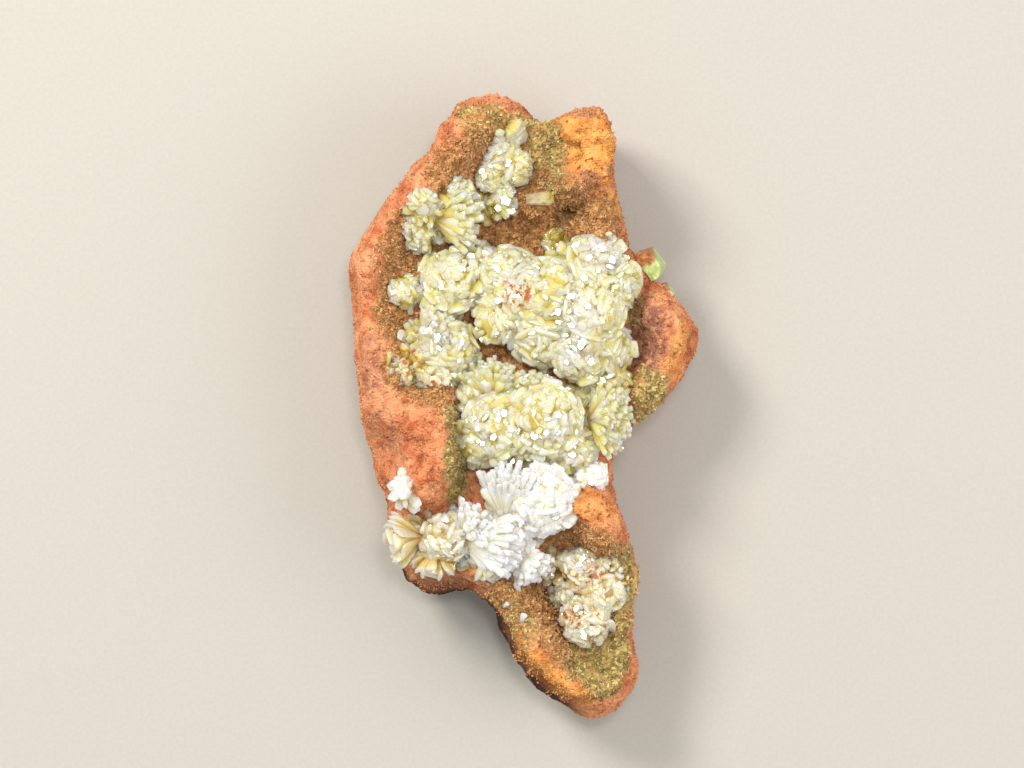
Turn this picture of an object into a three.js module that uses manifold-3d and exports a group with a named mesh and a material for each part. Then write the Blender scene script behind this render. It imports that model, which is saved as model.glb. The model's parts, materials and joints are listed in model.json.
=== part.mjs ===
// A hand specimen of adamite on limonite, as collected: a rusty, vuggy slab of limonite lying on its
// broken back, with sprays and rosettes of flared adamite blades grown in the open vug on its upper side.
// Millimetres. +Z is up, away from the broken back; +Y runs along the length, towards the horned end.
// The origin is under the middle of the slab, on the flat that it rests on.
import * as THREE from "three";
import { mergeVertices } from "three/addons/utils/BufferGeometryUtils.js";
import Module from "manifold-3d";

const wasm = await Module();
wasm.setup();

// ---- Driving dimensions ------------------------------------------------------------------------
const FACET_SIZE = [3.1, 3.1, 4.6]; // spacing of the facets on the limonite along x, y and z
const GROUND_HEIGHT = 20; // height of the limonite where no relief is named below
const BELLY_HEIGHT = 12; // height at which the slab is widest
const BACK_LEAN = 7; // how far the sides lean in under the belly
const BACK_STOCK = 1.5; // limonite meshed below the flat back, then cut away
const EDGE_ROUND = 2.2; // rounding of the top edges where the slab is broken
const SHELL_ROUND = 8; // rounding of the smooth outer shell on the left
const LUMP_HEIGHT = 1.3; // roughness of the limonite surface
const LUMP_SPACING = 7;
const DENT_DEPTH = 3.2; // broad dents in the sides, above and below the belly
const DENT_SPACING = 15;
const SEAT_GAP = 0.35; // clearance between the crystals and the limonite they grow from
const MOUND_SHARE = 0.9; // radius of the mound under a spray, against its reach
const MOUND_MOST = 5.4;
const MOUND_RISE = 1.2; // height of its top over the heart that the blades flare from

// Outline of the slab from above, clockwise from the top of the left horn.
const OUTLINE = [
  [-6, 50.4], [-2, 49.8], [0.5, 48], [2, 46], [4, 45.5], [6, 46.5], [8.5, 47.5], [12.5, 48],
  [14.5, 47], [15.5, 44.5], [15.5, 41], [15, 37.5], [15.5, 33.5], [16.5, 29.5], [16.5, 26],
  [18.5, 24], [21, 20.5], [24.8, 16.8], [27.6, 14.2], [28.8, 11.5], [28.2, 8], [25.4, 3.8], [22, 0.5],
  [18.5, -2.5], [15.5, -5], [14.5, -8.5], [15, -13], [16, -17], [17.5, -20], [17, -22.5],
  [18.5, -25], [18.5, -28], [18, -31.5], [18, -35], [18.5, -39.5], [19, -44.5], [18, -47],
  [15, -49.8], [12, -51], [8.5, -50], [4, -47], [1, -44.5], [-1.5, -41], [-3, -37], [-4.5, -33.5],
  [-7.5, -31.5], [-11.5, -31], [-14, -32], [-17, -30.5], [-19, -27.5], [-20.5, -23.5],
  [-22, -19], [-21.5, -16], [-23, -13.5], [-24, -9.5], [-25.5, -4], [-26.5, 4], [-27, 13],
  [-28, 20.5], [-27.5, 24], [-24.5, 28.5], [-22, 32.5], [-18.5, 36.5], [-15, 40], [-13, 43.5],
  [-12.5, 46.5], [-10, 48.5],
];

// Relief of the upper side. Each stroke sets the height along its path, out to reach, and eases back
// to what was there over edge: a short edge is a ledge, a long one a slope. Later strokes win.
const RELIEF = [
  // outer rim
  { height: 27, reach: 2, edge: 6, path: [
    [-6, 48], [-10.5, 44.5], [-13.5, 39.5], [-18, 34.5], [-22, 29.5], [-24.5, 23], [-24.5, 15],
    [-23.5, 7], [-23, -1],
  ] },
  // vug floor: upper part, then middle
  { height: 16, reach: 4, edge: 7, path: [[-13, 23], [0, 26.5], [11, 28]] },
  { height: 18, reach: 6, edge: 6, path: [[-14, 16], [-3.5, 15], [10, 12], [10, 0.5], [-4, -2.5]] },
  // saddle between the horns
  { height: 20, reach: 2.5, edge: 4, path: [[3, 44.5], [2.5, 34.5]] },
  // ochre block, the bank below it and the small hole under the bank
  { height: 27, reach: 2.4, edge: 1.8, path: [[9, 44.5], [12.5, 44.5], [12.8, 36.5], [9, 36]] },
  { height: 23, reach: 1.5, edge: 4, path: [[12.5, 31], [13.5, 27]] },
  { height: 11, reach: 1, edge: 2.2, path: [[8.2, 31]] },
  // left slab, the crack above it and the groove beside it
  { height: 28.5, reach: 2.2, edge: 2, path: [
    [-20, -2.5], [-13, -3], [-13, -13], [-16, -15.5], [-19.5, -10.5],
  ] },
  { height: 23.5, reach: 0.6, edge: 2, path: [[-18.5, 2.5], [-11.5, 1.5]] },
  { height: 19, reach: 0.6, edge: 1.6, path: [[-9.3, -1], [-9.3, -15.5]] },
  // right lobe: face, then rim; and the shoulder above it
  { height: 16.5, reach: 2.5, edge: 5, path: [[18.5, 12], [18.5, 4]] },
  { height: 22, reach: 1.2, edge: 5, path: [[23.5, 14], [25.5, 11], [24.5, 7], [20.5, 1.5]] },
  { height: 19, reach: 1, edge: 3, path: [[17, 23], [20, 18.5]] },
  // floor under the lower spray, the dark gap above it and the shelf to its left
  { height: 20, reach: 5, edge: 4, path: [[-6.5, -18.5], [3, -17]] },
  { height: 15, reach: 1, edge: 3, path: [[-1.5, -10.5], [0.5, -10.5]] },
  { height: 20.5, reach: 3, edge: 4, path: [[-17.5, -21.5], [-13, -24]] },
  // orange block and its knee
  { height: 27.5, reach: 2, edge: 2.4, path: [[10.5, -17], [14, -17.5], [14, -20.5], [10, -20.5]] },
  { height: 24.5, reach: 1, edge: 2.5, path: [[6.5, -19.5], [8.5, -20]] },
  // foot: hollow, left rim, right rim, pocket and knob
  { height: 18, reach: 4.5, edge: 3.5, path: [[6.5, -27], [10.5, -31], [12, -35.5]] },
  { height: 23.5, reach: 1.2, edge: 4, path: [
    [-6.5, -29], [-0.5, -35], [4, -41.5], [9, -45.5], [13, -46.5],
  ] },
  { height: 22.5, reach: 0.6, edge: 2, path: [[17, -25], [16.8, -35], [17.3, -43]] },
  { height: 19.5, reach: 2.4, edge: 2.4, path: [[11, -41.5], [14, -40.5]] },
  { height: 23.5, reach: 0.8, edge: 2, path: [[16.2, -45.5]] },
];

// Hollows in the sides: the cave under the lower left shelf and the notch above that shelf.
const SIDE_HOLLOWS = [
  { at: [-9.5, -30.5, 13], radii: [7, 3.6, 6] },
  { at: [-23, -16, 14], radii: [1.6, 1.4, 9] },
];

// Adamite. Each spray is [x, y, lift, heading, pitch, fan, splay, reach, blades]: where its heart
// stands, how far that is above the limonite, the way it points in plan and above the horizon, its
// half spreads along and across the fan, the length of its blades and their number. Degrees.
const SPRAYS = {
  adamite_upper_fan: [
    [-14.4, 29.4, 2.5, 10, 36, 62, 16, 9, 7], // long striated fan
    [-15.4, 28.6, 2, 200, 32, 45, 20, 5.2, 3], // short prisms to the left
    [-16, 32.2, 2, 112, 36, 45, 18, 4.8, 3], // spiky blades above
    [-10.7, 33.4, 2, 60, 45, 45, 25, 4.8, 4], // white tips above
    [-8.2, 29.8, 2, 345, 34, 42, 22, 5.2, 3], // plates at the right end
  ],
  adamite_crown_druse: [
    [-3.5, 41, 1.8, 90, 70, 70, 60, 4.2, 5],
    [-2.4, 38.4, 1.8, 280, 55, 65, 50, 4.2, 5],
  ],
  adamite_central_crust: [
    [-11, 18.6, 2, 100, 76, 70, 65, 5.6, 5], // shelf rosette
    [-16.6, 17.8, 1.2, 175, 45, 50, 35, 4.6, 3],
    [-2.1, 19.7, 3, 95, 72, 75, 70, 5.8, 6],
    [-4, 13.6, 3, 205, 48, 62, 40, 5.8, 5],
    [4.2, 17.4, 4.5, 90, 82, 75, 70, 6.4, 6],
    [11.8, 20.6, 3.5, 50, 52, 65, 45, 6.2, 6],
    [11.2, 14, 4.6, 10, 68, 72, 55, 6.2, 6],
    [3.6, 10, 3.2, 266, 48, 70, 40, 5.6, 5],
    [11, 8.4, 4.4, 320, 58, 70, 45, 6.2, 6],
    [11.8, 2.8, 3.4, 20, 60, 60, 45, 5.2, 4], // neck that joins the two halves
    [-4.8, 1, 2.5, 90, 36, 44, 18, 6.8, 6], // upright fan
    [1.8, 1.4, 2.5, 92, 38, 50, 20, 5.2, 4], // small upright fan
    [-3.4, -4.8, 3.8, 195, 70, 75, 65, 6.2, 6],
    [4.2, -3.6, 4.8, 270, 80, 75, 70, 6.6, 7],
    [10.8, -2.6, 4, 5, 40, 58, 24, 7, 7], // shell fan at the right edge
  ],
  adamite_lower_spray: [
    [-3.2, -18.9, 3, 62, 36, 55, 18, 9, 7], // long blades running up to the right
    [3, -18, 4, 50, 60, 65, 45, 5.8, 6], // broad white head
    [-0.6, -24, 2, 320, 36, 55, 22, 6.2, 6], // white blades to the lower right
    [-7.4, -21.8, 2.4, 240, 66, 65, 50, 5.4, 5],
    [-14.2, -21.2, 2.4, 180, 36, 60, 22, 6.6, 6], // petals over the left edge
    [-11.6, -23.2, 2.2, 262, 34, 55, 20, 5.8, 5], // petals over the lower edge
  ],
  adamite_foot_cluster: [
    [9.6, -27.5, 2.5, 95, 62, 70, 50, 4.8, 5],
    [13, -30.6, 3, 20, 55, 65, 40, 4.8, 4],
    [9.6, -33, 3, 265, 52, 70, 40, 5.6, 5],
  ],
  adamite_left_rosette: [
    [-16.3, 9.5, 2.5, 40, 42, 40, 24, 6.2, 4], // striated white prisms
    [-13.9, 7.6, 2.5, 340, 60, 70, 50, 4.4, 5],
    [-16, 6, 1.5, 250, 48, 65, 40, 4.8, 4],
  ],
  adamite_rim_tuft: [[-18.6, -14, 0.8, 140, 60, 60, 45, 2.8, 4]],
  adamite_yellow_ball: [[5.8, 26, 1.4, 90, 75, 75, 70, 2.6, 5]],
  adamite_lying_prism: [[2.2, 32.8, 1.2, 2, 8, 8, 6, 3.6, 1]],
};

// Blade proportions, as shares of the reach, and the chisel end.
const BLADE_WIDTH_SHARE = 0.52;
const BLADE_THICKNESS_SHARE = 0.28;
const CHISEL_SHARE = 0.16; // length of the chisel end
const RIDGE_SHARE = 0.55; // length of the chisel's ridge against the blade's width
const REACH_SPREAD = 0.14; // blades are this much longer or shorter than the reach

// Stout green prisms on the right edge: centre, then size along, across and through.
const GREEN_PRISMS = {
  green_prism_large: { at: [20.6, 22.4, 14.2], size: [5.4, 4.2, 4.6], turn: -52, tilt: 14 },
  green_prism_small: { at: [23.4, 17.9, 13.4], size: [3.4, 2.4, 3.6], turn: -48, tilt: 10 },
};

// ---- Helpers -----------------------------------------------------------------------------------
const radians = THREE.MathUtils.degToRad;
const clamp = THREE.MathUtils.clamp;

function seededRandom(seed) {
  let state = seed >>> 0;
  return () => {
    state = (state + 0x6d2b79f5) >>> 0;
    let t = state;
    t = Math.imul(t ^ (t >>> 15), t | 1);
    t ^= t + Math.imul(t ^ (t >>> 7), t | 61);
    return ((t ^ (t >>> 14)) >>> 0) / 4294967296;
  };
}

function latticeValue(i, j, k) {
  return seededRandom(i * 73856093 + j * 19349663 + k * 83492791)();
}

// Smooth noise between -1 and 1, with features one unit apart.
function smoothNoise(x, y, z) {
  const cell = [x, y, z].map(Math.floor);
  const [u, v, w] = [x, y, z].map((a, n) => {
    const t = a - cell[n];
    return t * t * (3 - 2 * t);
  });
  let sum = 0;
  for (let corner = 0; corner < 8; corner++) {
    const step = [corner & 1, (corner >> 1) & 1, corner >> 2];
    const share = (step[0] ? u : 1 - u) * (step[1] ? v : 1 - v) * (step[2] ? w : 1 - w);
    sum += share * latticeValue(cell[0] + step[0], cell[1] + step[1], cell[2] + step[2]);
  }
  return sum * 2 - 1;
}

function smoothMax(a, b, round) {
  const overlap = Math.max(round - Math.abs(a - b), 0) / round;
  return Math.max(a, b) + (overlap * overlap * round) / 4;
}

function distanceToPath(x, y, path) {
  let nearest = Infinity;
  for (let n = 0; n < Math.max(path.length - 1, 1); n++) {
    const [ax, ay] = path[n];
    const [bx, by] = path[Math.min(n + 1, path.length - 1)];
    const [dx, dy] = [bx - ax, by - ay];
    const t = clamp(((x - ax) * dx + (y - ay) * dy) / (dx * dx + dy * dy || 1), 0, 1);
    nearest = Math.min(nearest, Math.hypot(x - ax - t * dx, y - ay - t * dy));
  }
  return nearest;
}

// ---- Limonite ----------------------------------------------------------------------------------
const LATTICE = { low: [-34, -55, -8], high: [34, 55, 36] }; // reaches past the slab by a facet or more
const FILLED_VALUE = 0.3; // how far inside a filled corner counts
const OUTLINE_STEPS = 180;
const outlineCurve = new THREE.CatmullRomCurve3(
  OUTLINE.map(([x, y]) => new THREE.Vector3(x, y, 0)), true, "centripetal",
);
const outlineRing = outlineCurve.getPoints(OUTLINE_STEPS).map((p) => [p.x, p.y]);

// Distance to the outline in plan, negative inside.
function outlineDistance(x, y) {
  let inside = false;
  for (let n = 0; n < OUTLINE_STEPS; n++) {
    const [ax, ay] = outlineRing[n];
    const [bx, by] = outlineRing[n + 1];
    if (ay > y !== by > y && x < ((bx - ax) * (y - ay)) / (by - ay) + ax) inside = !inside;
  }
  const away = distanceToPath(x, y, outlineRing);
  return inside ? -away : away;
}

function reliefHeight(x, y) {
  let height = GROUND_HEIGHT;
  for (const stroke of RELIEF) {
    const past = (distanceToPath(x, y, stroke.path) - stroke.reach) / stroke.edge;
    const t = clamp(past, 0, 1);
    height += (stroke.height - height) * (1 - t * t * (3 - 2 * t));
  }
  return height;
}

function lumps(x, y, z) {
  const [i, j, k] = [x, y, z].map((d) => d / LUMP_SPACING);
  return LUMP_HEIGHT * (smoothNoise(i, j, k) + 0.5 * smoothNoise(2.1 * i, 2.1 * j, 2.1 * k));
}

// How far a point is above the upper side, measured square to it.
function aboveRelief(x, y, z) {
  const step = 0.5;
  const height = reliefHeight(x, y);
  const slopeX = (reliefHeight(x + step, y) - height) / step;
  const slopeY = (reliefHeight(x, y + step) - height) / step;
  return (z - height) / Math.hypot(1, slopeX, slopeY);
}

// How far a point is past the sides, which lean in under the belly and are dented off it.
function pastSides(x, y, z) {
  const below = clamp((BELLY_HEIGHT - z) / BELLY_HEIGHT, 0, 1);
  const offBelly = clamp(Math.abs(z - BELLY_HEIGHT) / 6, 0, 1);
  const dent = Math.max(smoothNoise(x / DENT_SPACING, y / DENT_SPACING, z / DENT_SPACING), 0);
  return outlineDistance(x, y) + BACK_LEAN * below * below + DENT_DEPTH * offBelly * dent;
}

// Negative inside the limonite, and close to the distance from its surface.
function limoniteField(x, y, z) {
  const shellShare = clamp((-10 - x) / 8, 0, 1);
  const round = EDGE_ROUND + (SHELL_ROUND - EDGE_ROUND) * shellShare;
  let field = smoothMax(aboveRelief(x, y, z), pastSides(x, y, z), round);
  field = Math.max(field, -BACK_STOCK - z);
  for (const { at, radii } of SIDE_HOLLOWS) {
    const [u, v, w] = [x - at[0], y - at[1], z - at[2]].map((d, axis) => d / radii[axis]);
    field = smoothMax(field, (1 - Math.hypot(u, v, w)) * Math.min(...radii), 2);
  }
  return field + lumps(x, y, z) * (1 - 0.5 * shellShare);
}

function sumOf(...vectors) {
  return [0, 1, 2].map((axis) => vectors.reduce((sum, vector) => sum + vector[axis], 0));
}

const UNIT_STEPS = [[1, 0, 0], [0, 1, 0], [0, 0, 1]];
const CORNERS = [...Array(8).keys()].map((n) => [n & 1, (n >> 1) & 1, n >> 2]);
const CELL_EDGES = CORNERS.flatMap((corner) =>
  UNIT_STEPS.filter((step, axis) => !corner[axis]).map((step) => [corner, sumOf(corner, step)]));

// The field's values at the lattice's points, with a point of the lattice given as [i, j, k].
class Lattice {
  constructor(field) {
    const { low, high } = LATTICE;
    this.count = low.map((a, axis) => Math.ceil((high[axis] - a) / FACET_SIZE[axis]) + 1);
    this.values = new Map();
    this.eachPoint(0, 0, (point) => this.values.set(this.key(point), field(...this.place(point))));
    while (this.fillPinches());
  }

  key([i, j, k]) {
    return (k * this.count[1] + j) * this.count[0] + i;
  }

  place(point) {
    return point.map((step, axis) => LATTICE.low[axis] + step * FACET_SIZE[axis]);
  }

  value(point) {
    return this.values.get(this.key(point));
  }

  eachPoint(first, leftOver, action) {
    for (let k = first; k < this.count[2] - leftOver; k++)
      for (let j = first; j < this.count[1] - leftOver; j++)
        for (let i = first; i < this.count[0] - leftOver; i++) action([i, j, k]);
  }

  // A face whose corners are in, out, in, out in turn would pinch the surface there: it is filled.
  fillPinches() {
    let filled = false;
    this.eachPoint(0, 1, (point) => {
      for (const axis of [0, 1, 2]) {
        const [u, v] = [UNIT_STEPS[(axis + 1) % 3], UNIT_STEPS[(axis + 2) % 3]];
        const face = [point, sumOf(point, u), sumOf(point, u, v), sumOf(point, v)];
        const [a, b, c, d] = face.map((corner) => this.value(corner) < 0);
        if (a !== c || b !== d || a === b) continue;
        this.values.set(this.key(a ? face[1] : face[0]), -FILLED_VALUE);
        filled = true;
      }
    });
    return filled;
  }

  // The mean of the places where the surface crosses a cell's edges.
  crossing(cell) {
    const places = [];
    for (const edge of CELL_EDGES) {
      const [a, b] = edge.map((corner) => sumOf(cell, corner));
      const [va, vb] = [this.value(a), this.value(b)];
      if (va < 0 === vb < 0) continue;
      const [pa, pb] = [a, b].map((point) => new THREE.Vector3(...this.place(point)));
      places.push(pa.lerp(pb, va / (va - vb)).toArray());
    }
    return places.length && sumOf(...places).map((sum) => sum / places.length);
  }
}

// Meshes the surface where field is 0: one vertex in each cell that the surface crosses, and one quad
// around each lattice edge that it crosses.
function meshField(field) {
  const lattice = new Lattice(field);
  const positions = [];
  const vertexOf = new Map();
  lattice.eachPoint(0, 1, (cell) => {
    const place = lattice.crossing(cell);
    if (!place) return;
    vertexOf.set(lattice.key(cell), positions.length / 3);
    positions.push(...place);
  });
  const triangles = [];
  lattice.eachPoint(1, 1, (point) => {
    const inside = lattice.value(point) < 0;
    for (const axis of [0, 1, 2]) {
      if (inside === lattice.value(sumOf(point, UNIT_STEPS[axis])) < 0) continue;
      const [u, v] = [1, 2].map((n) => UNIT_STEPS[(axis + n) % 3].map((step) => -step));
      const cells = [point, sumOf(point, u), sumOf(point, u, v), sumOf(point, v)];
      const [a, b, c, d] = cells.map((cell) => vertexOf.get(lattice.key(cell)));
      triangles.push(...(inside ? [a, b, c, a, c, d] : [a, c, b, a, d, c]));
    }
  });
  const geometry = new THREE.BufferGeometry();
  geometry.setAttribute("position", new THREE.Float32BufferAttribute(positions, 3));
  geometry.setIndex(triangles);
  return geometry;
}

// ---- Solids ------------------------------------------------------------------------------------
function solidOf(geometry) {
  const bare = geometry.clone();
  bare.deleteAttribute("normal");
  bare.deleteAttribute("uv");
  const merged = mergeVertices(bare, 1e-4);
  const mesh = new wasm.Mesh({
    numProp: 3,
    vertProperties: merged.attributes.position.array,
    triVerts: new Uint32Array(merged.index.array),
  });
  return new wasm.Manifold(mesh);
}

function geometryOf(solid) {
  const mesh = solid.getMesh();
  const geometry = new THREE.BufferGeometry();
  geometry.setAttribute("position", new THREE.BufferAttribute(mesh.vertProperties, 3));
  geometry.setIndex(new THREE.BufferAttribute(mesh.triVerts, 1));
  geometry.computeVertexNormals();
  return geometry;
}

// A boolean can leave loose chips: the specimen keeps the largest body.
function largestBody(solid) {
  return solid.decompose().reduce((best, body) => (body.volume() > best.volume() ? body : best));
}

// The solid of a meshed surface that is pushed out along its normals.
function grown(geometry, distance) {
  const pushed = geometry.clone();
  pushed.computeVertexNormals();
  const { position, normal } = pushed.attributes;
  for (let n = 0; n < position.count; n++) {
    const out = new THREE.Vector3().fromBufferAttribute(normal, n).multiplyScalar(distance);
    position.setXYZ(n, position.getX(n) + out.x, position.getY(n) + out.y, position.getZ(n) + out.z);
  }
  return solidOf(pushed);
}

const limoniteSurface = meshField(limoniteField);
const underGround = solidOf(new THREE.BoxGeometry(200, 200, 40).translate(0, 0, -20));
const limonite = largestBody(solidOf(limoniteSurface).subtract(underGround));
const limoniteGrown = grown(limoniteSurface, SEAT_GAP);

// ---- Adamite -----------------------------------------------------------------------------------
// A blade that flares from a point at the origin, along +Z, to a chisel end: width along X.
function bladeGeometry(length, width, thickness) {
  const shoulder = length * (1 - CHISEL_SHARE);
  const [w, t, ridge] = [width / 2, thickness / 2, (RIDGE_SHARE * width) / 2];
  const positions = [
    [0, 0, 0], [w, t, shoulder], [-w, t, shoulder], [-w, -t, shoulder], [w, -t, shoulder],
    [ridge, 0, length], [-ridge, 0, length],
  ];
  const faces = [
    [0, 2, 1], [0, 3, 2], [0, 4, 3], [0, 1, 4], // sides
    [1, 2, 6], [1, 6, 5], [3, 4, 5], [3, 5, 6], [2, 3, 6], [4, 1, 5], // chisel
  ];
  const geometry = new THREE.BufferGeometry();
  geometry.setAttribute("position", new THREE.Float32BufferAttribute(positions.flat(), 3));
  geometry.setIndex(faces.flat());
  return geometry;
}

const GOLDEN_ANGLE = Math.PI * (3 - Math.sqrt(5));

// Directions spread evenly over an oval around the way that a spray points.
function sprayDirections(heading, pitch, fan, splay, blades) {
  const [h, p] = [radians(heading), radians(pitch)];
  const axis = new THREE.Vector3(Math.cos(h) * Math.cos(p), Math.sin(h) * Math.cos(p), Math.sin(p));
  const fanwise = new THREE.Vector3(-Math.sin(h), Math.cos(h), 0);
  const across = new THREE.Vector3().crossVectors(axis, fanwise);
  const directions = [...Array(blades).keys()].map((n) => {
    const out = Math.sqrt((n + 0.4) / blades);
    const lean = fanwise.clone().multiplyScalar(out * radians(fan) * Math.cos(n * GOLDEN_ANGLE));
    lean.addScaledVector(across, out * radians(splay) * Math.sin(n * GOLDEN_ANGLE));
    const angle = lean.length();
    return axis.clone().multiplyScalar(Math.cos(angle)).addScaledVector(lean, Math.sin(angle) / angle);
  });
  return { fanwise, directions };
}

function spraySolid([x, y, lift, heading, pitch, fan, splay, reach, blades]) {
  const random = seededRandom(Math.round(1000 * x + 10 * y));
  const heart = new THREE.Vector3(x, y, reliefHeight(x, y) + lift);
  const mound = new THREE.IcosahedronGeometry(1, 0).rotateZ(6 * random());
  const foot = Math.min(reach * MOUND_SHARE, MOUND_MOST);
  mound.scale(foot, foot, lift + MOUND_RISE).translate(x, y, heart.z - lift);
  let solid = solidOf(mound);
  const { fanwise, directions } = sprayDirections(heading, pitch, fan, splay, blades);
  for (const along of directions) {
    const roll = (splay / fan) * (random() - 0.5) * Math.PI;
    const thin = fanwise.clone().applyAxisAngle(along, roll).projectOnPlane(along).normalize();
    const wide = new THREE.Vector3().crossVectors(thin, along);
    const length = reach * (1 + REACH_SPREAD * (2 * random() - 1));
    const blade = bladeGeometry(length, reach * BLADE_WIDTH_SHARE, reach * BLADE_THICKNESS_SHARE);
    blade.applyMatrix4(new THREE.Matrix4().makeBasis(wide, thin, along).setPosition(heart));
    solid = solid.add(solidOf(blade));
  }
  return solid;
}

function clusterSolid(sprays) {
  const crystals = sprays.map(spraySolid).reduce((a, b) => a.add(b));
  return largestBody(crystals.subtract(limoniteGrown).subtract(limonite));
}

// A six-sided prism that stands against the slab's side.
function greenPrismSolid({ at, size: [long, wide, thick], turn, tilt }) {
  const shape = new THREE.Shape(
    [[0.5, 0.1], [0.3, 0.5], [-0.35, 0.5], [-0.5, 0], [-0.3, -0.5], [0.35, -0.5]].map(
      ([a, b]) => new THREE.Vector2(a * long, b * wide)),
  );
  const prism = new THREE.ExtrudeGeometry(shape, { depth: thick, bevelEnabled: false });
  prism.translate(0, 0, -thick / 2).rotateX(radians(tilt)).rotateZ(radians(turn)).translate(...at);
  return largestBody(solidOf(prism).subtract(limoniteGrown).subtract(limonite));
}

// ---- The specimen ------------------------------------------------------------------------------
const specimen = new THREE.Group();

function addPiece(name, solid, material) {
  const mesh = new THREE.Mesh(geometryOf(solid), new THREE.MeshStandardMaterial(material));
  mesh.name = name;
  specimen.add(mesh);
}

const RUSTY_LIMONITE = { color: 0xb8622c, roughness: 0.95, metalness: 0 };
const PALE_ADAMITE = { color: 0xdcd88c, roughness: 0.15, metalness: 0 };
const MILKY_ADAMITE = { color: 0xe9e6cf, roughness: 0.2, metalness: 0 };
const GREEN_ADAMITE = { color: 0x9fb55f, roughness: 0.3, metalness: 0 };
const MILKY_CLUSTERS = [
  "adamite_lower_spray", "adamite_foot_cluster", "adamite_left_rosette", "adamite_rim_tuft",
];

addPiece("limonite_matrix", limonite, RUSTY_LIMONITE);
for (const [name, sprays] of Object.entries(SPRAYS)) {
  addPiece(name, clusterSolid(sprays), MILKY_CLUSTERS.includes(name) ? MILKY_ADAMITE : PALE_ADAMITE);
}
for (const [name, prism] of Object.entries(GREEN_PRISMS)) {
  addPiece(name, greenPrismSolid(prism), GREEN_ADAMITE);
}

export default specimen;
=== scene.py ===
"""Adamite on limonite: the looks of the hand specimen, built around its CAD solids. Metres, +Z up."""

import json
import math
import random
from collections import namedtuple

import bpy
import numpy as np
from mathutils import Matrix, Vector, noise
from mathutils.bvhtree import BVHTree

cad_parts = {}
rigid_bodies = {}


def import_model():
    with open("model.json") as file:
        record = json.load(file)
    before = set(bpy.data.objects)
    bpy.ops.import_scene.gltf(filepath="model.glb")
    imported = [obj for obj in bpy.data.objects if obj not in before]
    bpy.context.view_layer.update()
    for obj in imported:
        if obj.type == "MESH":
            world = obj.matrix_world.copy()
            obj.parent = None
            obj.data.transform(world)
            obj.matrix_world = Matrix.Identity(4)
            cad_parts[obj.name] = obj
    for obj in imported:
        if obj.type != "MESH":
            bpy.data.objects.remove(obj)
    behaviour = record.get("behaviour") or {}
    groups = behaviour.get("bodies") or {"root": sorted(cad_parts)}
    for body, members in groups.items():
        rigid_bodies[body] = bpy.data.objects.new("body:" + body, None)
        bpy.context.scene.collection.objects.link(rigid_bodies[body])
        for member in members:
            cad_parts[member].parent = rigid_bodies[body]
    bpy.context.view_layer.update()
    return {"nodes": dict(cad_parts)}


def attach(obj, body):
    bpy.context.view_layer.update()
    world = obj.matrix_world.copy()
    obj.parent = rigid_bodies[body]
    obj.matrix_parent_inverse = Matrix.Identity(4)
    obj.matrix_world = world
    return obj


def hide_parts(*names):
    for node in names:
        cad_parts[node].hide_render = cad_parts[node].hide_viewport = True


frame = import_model()
bpy.ops.object.select_all(action="DESELECT")

MM = 0.001
GOLDEN_ANGLE = math.pi * (3 - math.sqrt(5))
SOFT_EDGE = math.radians(32)  # crystal edges blunter than this are shaded smooth

# ---- The limonite's form, in millimetres -----------------------------------------------------------
GROUND_HEIGHT = 20  # of the slab's top away from the strokes below
OUTLINE = [
    (-6, 50.4), (-2, 49.8), (0.5, 48), (2, 46), (4, 45.5), (6, 46.5), (8.5, 47.5), (12.5, 48),
    (14.5, 47), (15.5, 44.5), (15.5, 41), (15, 37.5), (15.5, 33.5), (16.5, 29.5), (16.5, 26),
    (18.5, 24), (21, 20.5), (24.8, 16.8), (27.6, 14.2), (28.8, 11.5), (28.2, 8), (25.4, 3.8), (22, 0.5),
    (18.5, -2.5), (15.5, -5), (14.5, -8.5), (15, -13), (16, -17), (17.5, -20), (17, -22.5),
    (18.5, -25), (18.5, -28), (18, -31.5), (18, -35), (18.5, -39.5), (19, -44.5), (18, -47),
    (15, -49.8), (12, -51), (8.5, -50), (4, -47), (1, -44.5), (-1.5, -41), (-3, -37), (-4.5, -33.5),
    (-7.5, -31.5), (-11.5, -31), (-14, -32), (-17, -30.5), (-19, -27.5), (-20.5, -23.5),
    (-22, -19), (-21.5, -16), (-23, -13.5), (-24, -9.5), (-25.5, -4), (-26.5, 4), (-27, 13),
    (-28, 20.5), (-27.5, 24), (-24.5, 28.5), (-22, 32.5), (-18.5, 36.5), (-15, 40), (-13, 43.5),
    (-12.5, 46.5), (-10, 48.5), (-6, 50.4),
]
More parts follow.
